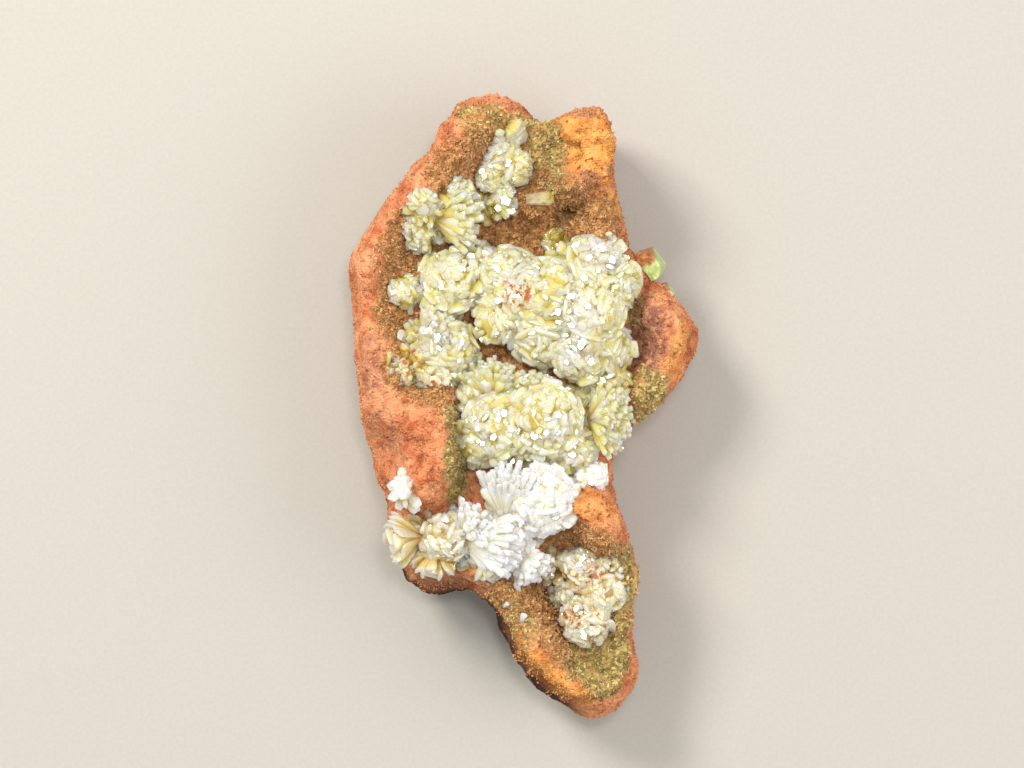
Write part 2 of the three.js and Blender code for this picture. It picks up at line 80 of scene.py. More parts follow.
# Strokes of the relief: height, reach, edge, path. Each sets the height along its path and eases
# back over its edge; later strokes win.
RELIEF = [
    (27, 2, 6, [(-6, 48), (-10.5, 44.5), (-13.5, 39.5), (-18, 34.5), (-22, 29.5), (-24.5, 23),
                (-24.5, 15), (-23.5, 7), (-23, -1)]),
    (16, 4, 7, [(-13, 23), (0, 26.5), (11, 28)]),
    (18, 6, 6, [(-14, 16), (-3.5, 15), (10, 12), (10, 0.5), (-4, -2.5)]),
    (20, 2.5, 4, [(3, 44.5), (2.5, 34.5)]),
    (27, 2.4, 1.8, [(9, 44.5), (12.5, 44.5), (12.8, 36.5), (9, 36)]),
    (23, 1.5, 4, [(12.5, 31), (13.5, 27)]),
    (11, 1, 2.2, [(8.2, 31)]),
    (28.5, 2.2, 2, [(-20, -2.5), (-13, -3), (-13, -13), (-16, -15.5), (-19.5, -10.5)]),
    (23.5, 0.6, 2, [(-18.5, 2.5), (-11.5, 1.5)]),
    (19, 0.6, 1.6, [(-9.3, -1), (-9.3, -15.5)]),
    (16.5, 2.5, 5, [(18.5, 12), (18.5, 4)]),
    (22, 1.2, 5, [(23.5, 14), (25.5, 11), (24.5, 7), (20.5, 1.5)]),
    (19, 1, 3, [(17, 23), (20, 18.5)]),
    (20, 5, 4, [(-6.5, -18.5), (3, -17)]),
    (15, 1, 3, [(-1.5, -10.5), (0.5, -10.5)]),
    (20.5, 3, 4, [(-17.5, -21.5), (-13, -24)]),
    (28.2, 2.2, 1.8, [(10.5, -17), (14, -17.5), (14, -20.5), (10, -20.5)]),
    (24.5, 1, 2.5, [(6.5, -19.5), (8.5, -20)]),
    (18, 4.5, 3.5, [(6.5, -27), (10.5, -31), (12, -35.5)]),
    (23.5, 1.2, 4, [(-6.5, -29), (-0.5, -35), (4, -41.5), (9, -45.5), (13, -46.5)]),
    (22.5, 0.6, 2, [(17, -25), (16.8, -35), (17.3, -43)]),
    (19.5, 2.4, 2.4, [(11, -41.5), (14, -40.5)]),
    (23.5, 0.8, 2, [(16.2, -45.5)]),
]
# Where the limonite changes its finish, seen from above: reach, edge, strength, path.
STAINS = {
    "ochre": [
        (4.6, 2.5, 1.0, [(9.5, 44), (11.5, 39)]),
        (1.6, 1.6, 0.8, [(14, 33), (15.5, 30)]), (2.4, 3.0, 0.6, [(-6.5, 47), (-2.5, 46.5)]),
        (2.2, 2.5, 0.9, [(-1.5, -37.5), (4.5, -44), (10, -47.5), (15.5, -46)]),
        (2.5, 2.5, 0.6, [(11, -16), (14, -16.5)]),
        (1.2, 2.0, 0.7, [(26.5, 12), (24, 5)]),
        (1.6, 2.0, 0.5, [(-9, -28), (-5, -29.5)]),
        (1.2, 1.5, 0.8, [(17, -27), (17.6, -38)]),
    ],
    "druse": [
        (4.5, 3.0, 1.0, [(-9, 33), (2, 33), (11, 29)]),
        (4.5, 3.0, 1.0, [(-12, 25), (0, 24), (12, 25)]),
        (3.2, 2.5, 1.0, [(-20, 27.5), (-18.5, 20), (-21, 14)]),
        (2.4, 2.0, 0.8, [(-13, 37), (-6, 42)]),
        (3.4, 2.5, 1.0, [(-19, 6), (-13, 2.5)]),
        (4.0, 3.0, 0.8, [(-4, -9), (3, -11)]),
        (3.4, 2.4, 1.0, [(-2, -28.5), (4, -33), (7, -38)]),
        (3.6, 2.0, 0.9, [(7, -22), (12, -24)]),
        (5.0, 4.0, 0.9, [(-12, 12), (0, 8), (10, 6)]),
    ],
    "olive": [
        (4.4, 2.5, 0.5, [(-5.5, 46), (-1, 44.5)]),
        (2.6, 2.0, 0.9, [(3, 44), (4.5, 36)]),
        (1.4, 1.2, 1.0, [(-10.6, -1.5), (-10.4, -15)]),
        (2.4, 2.0, 0.9, [(21.5, 3.5), (19.5, -1)]),
        (3.4, 2.0, 1.0, [(9.5, -41), (14, -39), (14, -44)]),
        (2.2, 1.8, 0.9, [(16.2, -25), (16.4, -36)]),
        (1.6, 2.0, 0.6, [(16.8, 19), (17.5, 14)]),
        (2.0, 2.0, 0.6, [(-4, -30.5), (1, -36)]),
    ],
    "purple": [
        (3.4, 3.0, 1.0, [(19.5, 14), (20, 8)]),
        (1.5, 1.0, 0.7, [(9.5, 36.2), (11.5, 36)]),
        (1.3, 0.9, 0.8, [(15, 37.2)]),
        (1.2, 1.2, 0.8, [(9, 46.6), (11.5, 46.8)]),
        (2.4, 3.0, 0.5, [(-22, -2), (-21, -9)]),
        (2.2, 2.5, 0.6, [(-24.5, 9), (-23.5, 3)]),
        (3.0, 3.0, 0.7, [(-15, -30), (-9, -30)]),
        (1.6, 2.0, 0.5, [(10, 31), (13, 28)]),
    ],
}
FORM_VOXEL = 0.6 * MM  # while the relief and the sides are moved
ROCK_VOXEL = 0.42 * MM  # of the finished limonite
OUTLINE_SLOTS = 150  # stretches of the outline, each with its own shortfall
MOST_SHORT = 4.0  # most that the sides are moved out to meet the outline
SIDE_TOP = 20.0  # the sides are moved below this height
SHELL_EDGE = 6.0  # width of the rounded shell on the left, where the relief isn't sharpened
RELIEF_MOVE = 1.4  # most that a point moves to sharpen the relief


# ---- Small helpers ---------------------------------------------------------------------------------
def smoothstep(low, high, values):
    """0 at low and 1 at high, eased between them; low may be the larger of the two."""
    share = np.clip((values - low) / (high - low), 0, 1)
    return share * share * (3 - 2 * share)


def distance_to_path(x, y, path):
    """Distance in plan from many points to a line of points."""
    nearest = np.full(len(x), 1e9)
    for (ax, ay), (bx, by) in zip(path, path[1:] or path):
        dx, dy = bx - ax, by - ay
        along = np.clip(((x - ax) * dx + (y - ay) * dy) / (dx * dx + dy * dy or 1), 0, 1)
        nearest = np.minimum(nearest, np.hypot(x - ax - along * dx, y - ay - along * dy))
    return nearest


def relief_height(x, y):
    """Height of the slab's top at places in plan, from the strokes of the relief."""
    height = np.full(len(x), float(GROUND_HEIGHT))
    for level, reach, edge, path in RELIEF:
        height += (level - height) * (1 - smoothstep(0, 1, (distance_to_path(x, y, path) - reach) / edge))
    return height


def noise_at(points, size, octaves=1):
    """Noise from about -1 to 1 at many points, with features of this size; all in millimetres."""
    if octaves == 1:
        return np.array([noise.noise(p) for p in points / size])
    return np.array([noise.fractal(p, 0.9, 2.1, octaves) for p in points / size])


def unit(vector):
    return vector / np.linalg.norm(vector)


def pointing(heading, pitch):
    """The unit vector at a heading and pitch in degrees."""
    h, p = math.radians(heading), math.radians(pitch)
    return np.array([math.cos(p) * math.cos(h), math.cos(p) * math.sin(h), math.sin(p)])


def level_across(heading):
    """The level unit vector a quarter turn left of a heading in degrees."""
    h = math.radians(heading)
    return np.array([-math.sin(h), math.cos(h), 0.0])


def square_to(aim, side):
    """The unit vector nearest to side that is square to aim."""
    return unit(side - aim * (side @ aim))


def across(axis, draw):
    """A unit vector square to an axis, turned at random."""
    return unit(np.cross(axis, [draw.uniform(-1, 1), draw.uniform(-1, 1), draw.uniform(-1, 1)]))


def pick(weights, count, draw):
    """The numbers of this many different points, drawn at random by their weights."""
    chance = weights / weights.sum()
    return np.random.default_rng(draw.randrange(1000)).choice(len(chance), count, replace=False, p=chance)


def mesh_points(piece):
    """A piece's vertices in millimetres."""
    flat = np.empty(len(piece.data.vertices) * 3)
    piece.data.vertices.foreach_get("co", flat)
    return flat.reshape(-1, 3) / MM


def mesh_normals(piece):
    flat = np.empty(len(piece.data.vertices) * 3)
    piece.data.vertex_normals.foreach_get("vector", flat)
    return flat.reshape(-1, 3)


def set_mesh_points(piece, points):
    piece.data.vertices.foreach_set("co", (points * MM).ravel())
    piece.data.update()


def set_attribute(piece, name, values, domain="POINT"):
    values = np.asarray(values, np.float32)
    kind, field = ("FLOAT", "value") if values.ndim == 1 else ("FLOAT_VECTOR", "vector")
    piece.data.attributes.new(name, kind, domain).data.foreach_set(field, values.ravel())


def apply_modifier(piece, kind, **settings):
    modifier = piece.modifiers.new(kind.title(), kind)
    for key, value in settings.items():
        setattr(modifier, key, value)
    bpy.context.view_layer.objects.active = piece
    bpy.ops.object.modifier_apply(modifier=modifier.name)


def mesh_piece(name, points, faces):
    """A new piece from points in millimetres and faces given as lists of point numbers."""
    mesh = bpy.data.meshes.new(name)
    mesh.from_pydata((points * MM).tolist(), [], faces)
    piece = bpy.data.objects.new(name, mesh)
    bpy.context.scene.collection.objects.link(piece)
    return piece


def finish_piece(piece, slot, materials, *nodes):
    for material in materials:
        piece.data.materials.append(material)
    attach(piece, "root")
    if nodes:
        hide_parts(*nodes)


# ---- Materials -------------------------------------------------------------------------------------
def linear(code):
    """An sRGB hex colour as linear red, green, blue and alpha."""
    channels = [int(code[n:n + 2], 16) / 255 for n in (1, 3, 5)]
    return [c / 12.92 if c <= 0.04045 else ((c + 0.055) / 1.055) ** 2.4 for c in channels] + [1.0]


def set_inputs(tree, node, inputs):
    """Sets a node's inputs, each to a value, a hex colour or another node's output to link to it."""
    for key, value in inputs.items():
        if isinstance(value, bpy.types.NodeSocket):
            tree.links.new(value, node.inputs[key])
        else:
            node.inputs[key].default_value = linear(value) if isinstance(value, str) else value


def add_node(tree, kind, settings=None, inputs=None):
    """Adds a node with its settings and inputs."""
    made = tree.nodes.new(kind)
    for key, value in (settings or {}).items():
        setattr(made, key, value)
    set_inputs(tree, made, inputs or {})
    return made


def per_metre(size):
    """Texture scale that gives features of this size in millimetres."""
    return 1000 / size


def layered(tree, colour, *layers):
    """A colour with others laid over it, each given as its mask and its colour."""
    for mask, paint in layers:
        mix = add_node(tree, "ShaderNodeMix", {"data_type": "RGBA"}, {0: mask, 6: colour, 7: paint})
        colour = mix.outputs[2]
    return colour


def start_material(name):
    """A new material, its nodes, its shader and the coordinates that its patterns read."""
    material = bpy.data.materials.new(name)
    material.use_nodes = True
    tree = material.node_tree
    coordinates = add_node(tree, "ShaderNodeTexCoord").outputs["Object"]
    return material, tree, tree.nodes["Principled BSDF"], coordinates


def speckle(tree, coordinates, size, low, high):
    """A mask from noise of one size in millimetres, from 0 below low to 1 above high."""
    grain = add_node(tree, "ShaderNodeTexNoise", None,
                     {"Vector": coordinates, "Scale": per_metre(size), "Detail": 3.0})
    return add_node(tree, "ShaderNodeMapRange", None,
                    {"Value": grain.outputs["Fac"], "From Min": low, "From Max": high}).outputs["Result"]


def limonite_material():
    """Limonite, an earthy iron hydroxide: dull and porous, orange on its weathered shell, ochre on fresh
    breaks, brown under the fine druse and plum where it turns to goethite. Near-black painted shade
    darkens its pits, and painted shadow darkens its lower flanks."""
    material, tree, shader, coordinates = start_material("limonite_earthy")
    colour = layered(tree, "#cd7f54", (speckle(tree, coordinates, 7, 0.35, 0.65), "#e6a275"),
                     (speckle(tree, coordinates, 2.2, 0.48, 0.7), "#b95f38"))
    for name, dark, light, size, low, high in (
            ("ochre", "#e8ae60", "#d4853f", 3, 0.4, 0.62),
            ("purple", "#9a6454", "#d09a72", 1.6, 0.42, 0.62),
            ("olive", "#8a7540", "#c6ad6c", 1.4, 0.4, 0.62),
            ("druse", "#90643a", "#cf9d64", 1.2, 0.42, 0.6)):
        mask = add_node(tree, "ShaderNodeAttribute", {"attribute_name": name}).outputs["Fac"]
        mottled = layered(tree, dark, (speckle(tree, coordinates, size, low, high), light))
        colour = layered(tree, colour, (mask, mottled))
    # Painted shade: near black in the pits, and painted shadow on the lower flanks, from the mask that
    # roughen leaves.
    hollow = add_node(tree, "ShaderNodeAttribute", {"attribute_name": "hollow"}).outputs["Fac"]
    colour = layered(tree, colour, (speckle(tree, coordinates, 0.7, 0.58, 0.72), "#7a4024"),
                     (speckle(tree, coordinates, 0.55, 0.6, 0.78), "#f0bd8c"), (hollow, "#1c0f07"))
    coarse = add_node(tree, "ShaderNodeTexNoise", None,
                      {"Vector": coordinates, "Scale": per_metre(1.1), "Detail": 6.0, "Roughness": 0.7})
    fine = add_node(tree, "ShaderNodeTexVoronoi", None,
                    {"Vector": coordinates, "Scale": per_metre(0.42)})
    height = add_node(tree, "ShaderNodeMath", {"operation": "MULTIPLY_ADD"},
                      {0: fine.outputs["Distance"], 1: -0.6, 2: coarse.outputs["Fac"]})
    bump = add_node(tree, "ShaderNodeBump", None,
                    {"Strength": 0.9, "Distance": 0.5 * MM, "Height": height.outputs[0]})
    set_inputs(tree, shader, {"Base Color": colour, "Normal": bump.outputs["Normal"], "Roughness": 0.86,
                              "Specular IOR Level": 0.3})
    return material


def grain_material(name, dark, light):
    """Fine druse: crystals under a millimetre long, coated brown by goethite, so they glint a little."""
    material, tree, shader, coordinates = start_material(name)
    shade = add_node(tree, "ShaderNodeAttribute", {"attribute_name": "shade"}).outputs["Fac"]
    colour = layered(tree, dark, (shade, light), (speckle(tree, coordinates, 2.5, 0.5, 0.7), "#95602f"))
    set_inputs(tree, shader, {"Base Color": colour, "Roughness": 0.5, "IOR": 1.6})
    return material


ADAMITE_IOR = 1.72


def adamite_material(name, root, body, tip, clear, gloss):
    """Adamite, a zinc arsenate: vitreous, pale honey yellow to colourless, milky inside and clear at the
    thin ends, striated along its blades."""
    material, tree, shader, coordinates = start_material(name)
    read = {label: add_node(tree, "ShaderNodeAttribute", {"attribute_name": label}).outputs
            for label in ("along", "shade", "rust", "milk", "grain")}
    # Shares from how far along its crystal a point is, and from the crystal's own shade. The pale ones'
    # veil, the milk and the rust come in patches.
    shares = {"rust": read["rust"]["Fac"], "milk": read["milk"]["Fac"]}
    for part, source, none, full in (("middle", "along", 0.3, 0.8), ("end", "along", 0.86, 1.0),
                                     ("deep", "shade", 0.6, -0.5), ("pale", "shade", 0.5, 0.9)):
        shares[part] = add_node(tree, "ShaderNodeMapRange", None, {
            "Value": read[source]["Fac"], "From Min": none, "From Max": full}).outputs["Result"]
    for part, size, low, high in (("pale", 3.5, 0.38, 0.6), ("milk", 2.2, 0.35, 0.55),
                                  ("rust", 0.9, 0.5, 0.58)):
        shares[part] = add_node(tree, "ShaderNodeMath", {"operation": "MULTIPLY"}, {
            0: shares[part], 1: speckle(tree, coordinates, size, low, high)}).outputs[0]
    colour = layered(
        tree, root, (shares["middle"], layered(tree, body, (shares["deep"], root))), (shares["end"], tip),
        (shares["pale"], "#fbf9ea"), (shares["milk"], "#fcf8ea"),
        (speckle(tree, coordinates, 0.6, 0.62, 0.72), root), (shares["rust"], "#cf7338"))
    ribs = add_node(tree, "ShaderNodeTexNoise", None,
                    {"Vector": read["grain"]["Vector"], "Scale": 1.0, "Detail": 2.0})
    bump = add_node(tree, "ShaderNodeBump", None,
                    {"Strength": 0.25, "Distance": 0.1 * MM, "Height": ribs.outputs["Fac"]})
    set_inputs(tree, shader, {
        "Base Color": colour, "Normal": bump.outputs["Normal"], "Roughness": gloss, "IOR": ADAMITE_IOR,
        "Transmission Weight": clear, "Subsurface Weight": 1.0, "Subsurface Radius": (1.0, 0.85, 0.5),
        "Subsurface Scale": 2.0 * MM, "Coat Weight": 0.4, "Coat Roughness": 0.02, "Coat IOR": 1.7})
    return material


def facet_material():
    """A clean crystal face: glassy adamite without striations, so it mirrors a light as a white spark."""
    material, tree, shader, coordinates = start_material("adamite_facet")
    colour = layered(tree, "#e9dca0", (speckle(tree, coordinates, 1.5, 0.4, 0.6), "#fbf7e0"))
    set_inputs(tree, shader, {"Base Color": colour, "Roughness": 0.03, "IOR": ADAMITE_IOR,
                              "Transmission Weight": 0.35})
    return material


def green_material():
    """Copper-bearing adamite: blocky, opaque light green, with iron oxide crusted on one side."""
    material, tree, shader, coordinates = start_material("adamite_green")
    coat = add_node(tree, "ShaderNodeAttribute", {"attribute_name": "coat"}).outputs["Fac"]
    crusted = layered(tree, "#8a5128", (speckle(tree, coordinates, 0.7, 0.4, 0.6), "#c07a3c"))
    colour = layered(tree, "#93a65a", (speckle(tree, coordinates, 1.6, 0.35, 0.65), "#c2cf8e"),
                     (speckle(tree, coordinates, 0.4, 0.6, 0.74), "#dfe6bb"), (coat, crusted))
    pits = add_node(tree, "ShaderNodeTexNoise", None,
                    {"Vector": coordinates, "Scale": per_metre(0.6), "Detail": 4.0})
    bump = add_node(tree, "ShaderNodeBump", None,
                    {"Strength": 0.5, "Distance": 0.15 * MM, "Height": pits.outputs["Fac"]})
    set_inputs(tree, shader, {
        "Base Color": colour, "Normal": bump.outputs["Normal"], "Roughness": 0.32, "IOR": ADAMITE_IOR,
        "Subsurface Weight": 0.4, "Subsurface Radius": (0.7, 1.0, 0.4), "Subsurface Scale": 0.6 * MM})
    return material


# ---- Limonite --------------------------------------------------------------------------------------
def limonite_body():
    """The CAD slab, remeshed finely, its relief sharpened and its sides moved out to the outline."""
    piece = node_copy("limonite_rock", "limonite_matrix")
    apply_modifier(piece, "REMESH", mode="VOXEL", voxel_size=FORM_VOXEL)
    apply_modifier(piece, "SMOOTH", factor=0.5, iterations=6)
    sharpen_relief(piece)
    fit_outline(piece)
    apply_modifier(piece, "REMESH", mode="VOXEL", voxel_size=ROCK_VOXEL)
    apply_modifier(piece, "SMOOTH", factor=0.5, iterations=2)
    return piece


def fit_outline(piece):
    """Moves the sides out to the outline where the relief's smoothing and remeshing left them short."""
    points = mesh_points(piece)
    ring = np.array(OUTLINE[:-1])
    steps = np.roll(ring, -1, axis=0) - ring
    lengths = np.hypot(steps[:, 0], steps[:, 1])
    starts = np.concatenate([[0], np.cumsum(lengths)])
    nearest = np.full(len(points), 1e9)
    place = np.zeros(len(points))
    target = np.zeros((len(points), 2))
    for corner, step, length, start in zip(ring, steps, lengths, starts):
        share = np.clip(((points[:, :2] - corner) @ step) / length ** 2, 0, 1)
        foot = corner + share[:, None] * step
        away = np.hypot(*(points[:, :2] - foot).T)
        closer = away < nearest
        nearest[closer] = away[closer]
        place[closer] = (start + share * length)[closer]
        target[closer] = foot[closer]
    # Each stretch of the outline has the shortfall of its nearest point, averaged with its neighbours'.
    slots = (place / starts[-1] * OUTLINE_SLOTS).astype(int) % OUTLINE_SLOTS
    short = np.full(OUTLINE_SLOTS, MOST_SHORT)
    np.minimum.at(short, slots, nearest)
    short = np.mean([np.roll(short, n) for n in range(-2, 3)], axis=0)[slots]
    out = (target - points[:, :2]) / np.maximum(nearest, 1e-6)[:, None]
    side = smoothstep(1, 5, points[:, 2]) * (1 - smoothstep(SIDE_TOP - 4, SIDE_TOP, points[:, 2]))
    points[:, :2] += out * (short * side * (1 - smoothstep(1, 7, nearest - short)))[:, None]
    set_mesh_points(piece, points)


def node_copy(name, node):
    """A free copy of a CAD solid, its faces' corners merged."""
    piece = bpy.data.objects.new(name, frame["nodes"][node].data.copy())
    bpy.context.scene.collection.objects.link(piece)
    piece.data.materials.clear()
    bpy.context.view_layer.objects.active = piece
    bpy.ops.object.mode_set(mode="EDIT")
    bpy.ops.mesh.select_all(action="SELECT")
    bpy.ops.mesh.remove_doubles(threshold=0.0001 * MM)
    bpy.ops.object.mode_set(mode="OBJECT")
    return piece


def sharpen_relief(piece):
    """Moves the top towards the relief's heights, most on the ochre block, and leaves the rims round."""
    points, normals = mesh_points(piece), mesh_normals(piece)
    x, y, z = points.T
    inside = distance_to_path(x, y, OUTLINE)
    block = (x > 7) & (y > 34.5)
    rim = np.where(x < -12, SHELL_EDGE + 3, np.where(block, 1.2, 2.5))
    share = smoothstep(0.25, 0.6, normals[:, 2]) * smoothstep(0, 1, (inside - rim * 0.4) / rim)
    rise = relief_height(x, y) - z
    share[block & (rise < 0)] = 1
    share *= z > 9
    most = np.where(block, 2 * RELIEF_MOVE, RELIEF_MOVE)
    move = np.clip(rise, -most, most)
    points[:, 2] += move * share
    set_mesh_points(piece, points)


def stain_masks(points):
    """How much of each finish a point has, with ragged borders."""
    wander = points + 1.3 * np.column_stack([noise_at(points + k * 31.7, 2.6, 3) for k in range(3)])
    top = smoothstep(-5, -2.5, points[:, 2] - relief_height(points[:, 0], points[:, 1]))
    masks = {}
    for name, strokes in STAINS.items():
        mask = np.zeros(len(points))
        for reach, edge, strength, path in strokes:
            away = distance_to_path(wander[:, 0], wander[:, 1], path)
            mask = np.maximum(mask, strength * (1 - smoothstep(reach - edge / 2, reach + edge / 2, away)))
        masks[name] = mask * top
    return masks


def roughen(piece):
    """Lumps, granules and pits on the limonite; its outer shell on the left stays smoother."""
    points, normals = mesh_points(piece), mesh_normals(piece)
    shell = smoothstep(-14, -22, points[:, 0]) * smoothstep(-26, -16, points[:, 1])
    coarse = 1 - 0.7 * shell
    masks = stain_masks(points)
    fuzzy = np.maximum(masks["druse"], masks["olive"])
    lumps = 0.55 * noise_at(points, 5.5, 3) * coarse
    granules = 0.5 - np.abs(noise_at(points, 1.5, 2))
    pits = -np.clip(noise_at(points + 77, 2.4, 2) - 0.22, 0, 1)
    grit = noise_at(points, 0.75)
    height = lumps + (0.34 * granules + 0.8 * pits) * (0.35 + 0.65 * coarse)
    height += grit * (0.08 + 0.1 * coarse + 0.16 * fuzzy)
    height += fuzzy * (0.5 * (0.4 - np.abs(noise_at(points + 19, 1.1))))
    height = np.where(normals[:, 2] < -0.5, -0.4 * np.abs(height), height)
    points += normals * np.clip(height, -1.4, 0.8)[:, None]
    points[:, 2] = np.maximum(points[:, 2], 0)
    set_mesh_points(piece, points)
    # Painted shade: the deeper pits are darkened as if shade fell into them.
    hollow = smoothstep(0.15, 0.55, -pits * 2.2 - 0.35 * granules)
    x, y, z = points.T
    # Painted shadow: the lower flanks under the overhang, towards the bottom and left, are darkened as if in
    # shadow.
    painted_shadow_flank = np.maximum(smoothstep(18, 12, z) * smoothstep(-20, -26, y) * smoothstep(0, -6, x),
                       smoothstep(24, 16, z) * smoothstep(-26, -32, y) * smoothstep(12, 6, x))
    masks["hollow"] = np.maximum(0.35 * hollow * (1 - 0.7 * shell), 0.94 * painted_shadow_flank)
    for name, mask in masks.items():
        set_attribute(piece, name, mask)
    return masks


# ---- Small crystals that coat the limonite ---------------------------------------------------------
def template(sides, groove, rows):
    """A crystal one unit long that stands on the origin, one unit wide and thick to each side. Rows give
    its height, width and thickness from root to tip; a groove narrows every other corner."""
    bpy.ops.mesh.primitive_circle_add(vertices=sides, radius=1, fill_type="NGON")
    made = bpy.context.object
    bpy.ops.object.mode_set(mode="OBJECT")
    for n, vertex in enumerate(made.data.vertices):
        vertex.select = n % 2 == 1
    bpy.ops.object.mode_set(mode="EDIT")
    bpy.ops.mesh.select_mode(type="VERT")
    bpy.ops.transform.resize(value=(1 - groove, 1 - groove, 1), center_override=(0, 0, 0))
    bpy.ops.mesh.select_all(action="SELECT")
    height, width, thickness = rows[0]
    bpy.ops.transform.resize(value=(width, thickness, 1), center_override=(0, 0, 0))
    bpy.ops.mesh.select_mode(type="FACE")
    for next_height, next_width, next_thickness in rows[1:]:
        bpy.ops.mesh.extrude_region_move(TRANSFORM_OT_translate={"value": (0, 0, next_height - height)})
        bpy.ops.transform.resize(value=(next_width / width, next_thickness / thickness, 1),
                                 center_override=(0, 0, next_height))
        height, width, thickness = next_height, next_width, next_thickness
    bpy.ops.mesh.select_all(action="SELECT")
    bpy.ops.mesh.normals_make_consistent(inside=False)
    bpy.ops.object.mode_set(mode="OBJECT")
    points = np.array([v.co for v in made.data.vertices])
    faces = [list(p.vertices) for p in made.data.polygons]
    bpy.data.objects.remove(made)
    return points, faces


CHISEL = template(8, 0.0, [(0, 0.25, 0.3), (0.5, 0.72, 0.78), (0.93, 1, 1), (1, 0.86, 0.14)])
BLOCK = template(6, 0.0, [(0, 0.3, 0.3), (0.5, 0.75, 0.78), (0.9, 1, 1), (1, 0.66, 0.5)])
TABLE = template(7, 0.0, [(0, 0.3, 0.3), (0.5, 0.75, 0.78), (0.95, 1, 1), (1, 0.84, 0.8)])
SHELL = template(28, 0.09, [(0, 0.12, 0.25), (0.35, 0.5, 0.7), (0.7, 0.88, 1), (0.86, 1, 0.9),
                            (0.94, 0.96, 0.72), (0.985, 0.8, 0.46), (1, 0.6, 0.16)])
LOBE = template(12, 0.0, [(0, 0.3, 0.3), (0.5, 0.75, 0.75), (0.86, 1.1, 1.1), (0.97, 0.9, 0.85),
                          (1, 0.55, 0.5)])
RIB = template(8, 0.0, [(0, 0.25, 0.3), (0.5, 0.62, 0.75), (0.9, 1, 1), (0.98, 0.86, 0.7), (1, 0.6, 0.2)])
PRISM = template(8, 0.06, [(0, 0.7, 0.8), (0.5, 0.95, 1), (0.84, 1, 0.98), (1, 0.62, 0.16)])
STUB = template(6, 0.0, [(0, 0.8, 0.8), (0.7, 1, 1), (1, 0.66, 0.16)])
PLATE = template(5, 0.0, [(0, 0.6, 0.6), (0.9, 1, 1), (1, 0.92, 0.92)])
GRAIN = template(4, 0.0, [(0, 1, 0.9), (1, 0.6, 0.35)])
PEBBLE = template(4, 0.0, [(0, 0.5, 0.5), (0.45, 1, 1), (1, 0.45, 0.45)])


RIBBING = [3.2, 3.2, 0.22]  # ribs per millimetre across a crystal's width and thickness, and along it
RIB_SHIFT = 17  # moves the ribs on, by the crystal's shade, so that no two crystals share theirs


def crystal(shape, root, axis, side, size, shade):
    """A copy of a template at root along axis, wide along side; its size is width, thickness, length.
    With it goes what its material reads: how far along a point is, its place on the crystal, its shade."""
    points, faces = shape
    local = points * [size[0] / 2, size[1] / 2, size[2]]
    placed = root + local @ np.array([side, np.cross(axis, side), axis])
    return placed, faces, points[:, 2], local * RIBBING + RIB_SHIFT * shade, shade


def crystal_mesh(name, crystals):
    """One mesh of many crystals, with what their material reads on its corners and faces."""
    places, faces, along, grain, shade = [], [], [], [], []
    count = 0
    for points, shape_faces, share, local, tone in crystals:
        places.append(points)
        faces.extend([[n + count for n in face] for face in shape_faces])
        along.append(share)
        grain.append(local)
        shade.extend([tone] * len(shape_faces))
        count += len(points)
    made = mesh_piece(name, np.concatenate(places), faces)
    corners = np.concatenate(faces)
    set_attribute(made, "along", np.concatenate(along)[corners], "CORNER")
    set_attribute(made, "grain", np.concatenate(grain)[corners], "CORNER")
    set_attribute(made, "shade", shade, "FACE")
    return made


def united_piece(name, crystals):
    """Crystals grown together: one closed body with nothing left inside it."""
    holder = bpy.data.collections.new(name + "_parts")
    bpy.context.scene.collection.children.link(holder)
    made = crystal_mesh(name, crystals[:1])
    for one in crystals[1:]:
        part = crystal_mesh("part", [one])
        holder.objects.link(part)
        bpy.context.scene.collection.objects.unlink(part)
    apply_modifier(made, "BOOLEAN", operation="UNION", operand_type="COLLECTION", collection=holder,
                   solver="MANIFOLD")
    for part in list(holder.objects):
        bpy.data.meshes.remove(part.data)
    bpy.data.collections.remove(holder)
    made.data.materials.clear()
    made.data.polygons.foreach_set("material_index", [0] * len(made.data.polygons))
    bpy.ops.object.select_all(action="DESELECT")
    made.select_set(True)
    bpy.ops.object.shade_smooth_by_angle(angle=SOFT_EDGE)
    points = mesh_points(made)
    for label, spots in (("rust", RUST_SPOTS), ("milk", MILKY_SPOTS)):
        shares = [1 - smoothstep(0.5, 1, np.hypot(points[:, 0] - x, points[:, 1] - y) / reach)
                  for x, y, reach in spots]
        set_attribute(made, label, np.max(shares, axis=0))
    return made


GRAIN_SUNK = 0.45  # share of a scattered crystal's length that stays in the surface


def scatter(points, normals, weights, count, shapes, size, tilt, draw):
    """Crystals on a surface given by points and normals, thickest where the points' weights are high."""
    grown = []
    for n in pick(weights, count, draw):
        axis = unit(normals[n] + np.array([draw.gauss(0, tilt) for _ in range(3)]))
        long = size * draw.uniform(0.6, 1.4)
        wide = long * draw.uniform(0.6, 0.9)
        root = points[n] - axis * GRAIN_SUNK * long
        extent = (wide, wide * 0.8, long)
        grown.append(crystal(draw.choice(shapes), root, axis, across(axis, draw), extent, draw.random()))
    return grown


